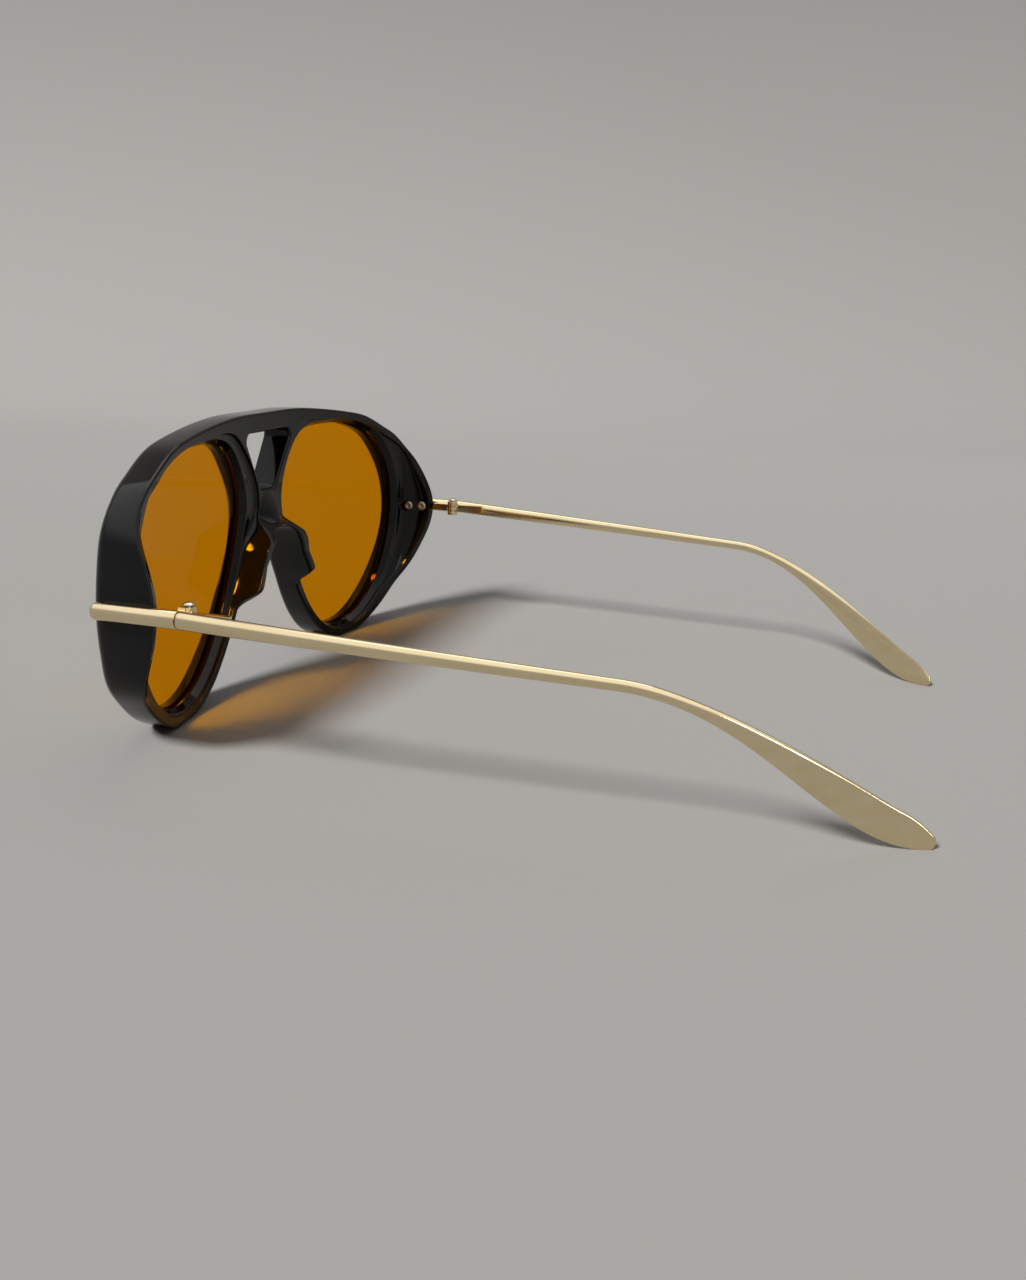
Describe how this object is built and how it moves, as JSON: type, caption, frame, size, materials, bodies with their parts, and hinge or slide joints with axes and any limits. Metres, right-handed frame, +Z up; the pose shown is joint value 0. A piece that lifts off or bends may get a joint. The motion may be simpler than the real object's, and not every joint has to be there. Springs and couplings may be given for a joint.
{
  "type": "sunglasses",
  "caption": "Oversized aviator sunglasses: deep black acetate front with moulded nose pads and keyhole bridge, amber lenses, and slim folding gold metal temples.",
  "frame": {"origin": "on the surface that the sunglasses stand on, under the middle of their box", "axes": "+X towards the wearer's left, +Y from the front back along the temples, +Z up"},
  "size_m": [0.1432, 0.1584, 0.0614],
  "materials": {
    "acetate": "polished",
    "lens": "clear amber tint",
    "gold": "polished pale gold plate",
    "screw": "turned"
  },
  "bodies": {
    "front": {"front_frame": "acetate", "lens_left": "lens", "endpiece_left": "gold", "rivet_left_front": "gold", "rivet_left_rear": "gold", "hinge_front_left": "gold", "hinge_screw_left": "screw", "lens_right": "lens", "endpiece_right": "gold", "rivet_right_front": "gold", "rivet_right_rear": "gold", "hinge_front_right": "gold", "hinge_screw_right": "screw"},
    "left_temple": {"temple_left": "gold", "hinge_temple_left": "gold"},
    "right_temple": {"temple_right": "gold", "hinge_temple_right": "gold"}
  },
  "joints": [
    {"name": "left_fold", "type": "hinge", "parent": "front", "child": "left_temple", "pos_m": [0.06671, -0.05114, 0.0312], "axis": [0, 0, 1], "range_deg": [0, 89]},
    {"name": "right_fold", "type": "hinge", "parent": "front", "child": "right_temple", "pos_m": [-0.06671, -0.05114, 0.0312], "axis": [0, 0, -1], "range_deg": [0, 85]}
  ]
}
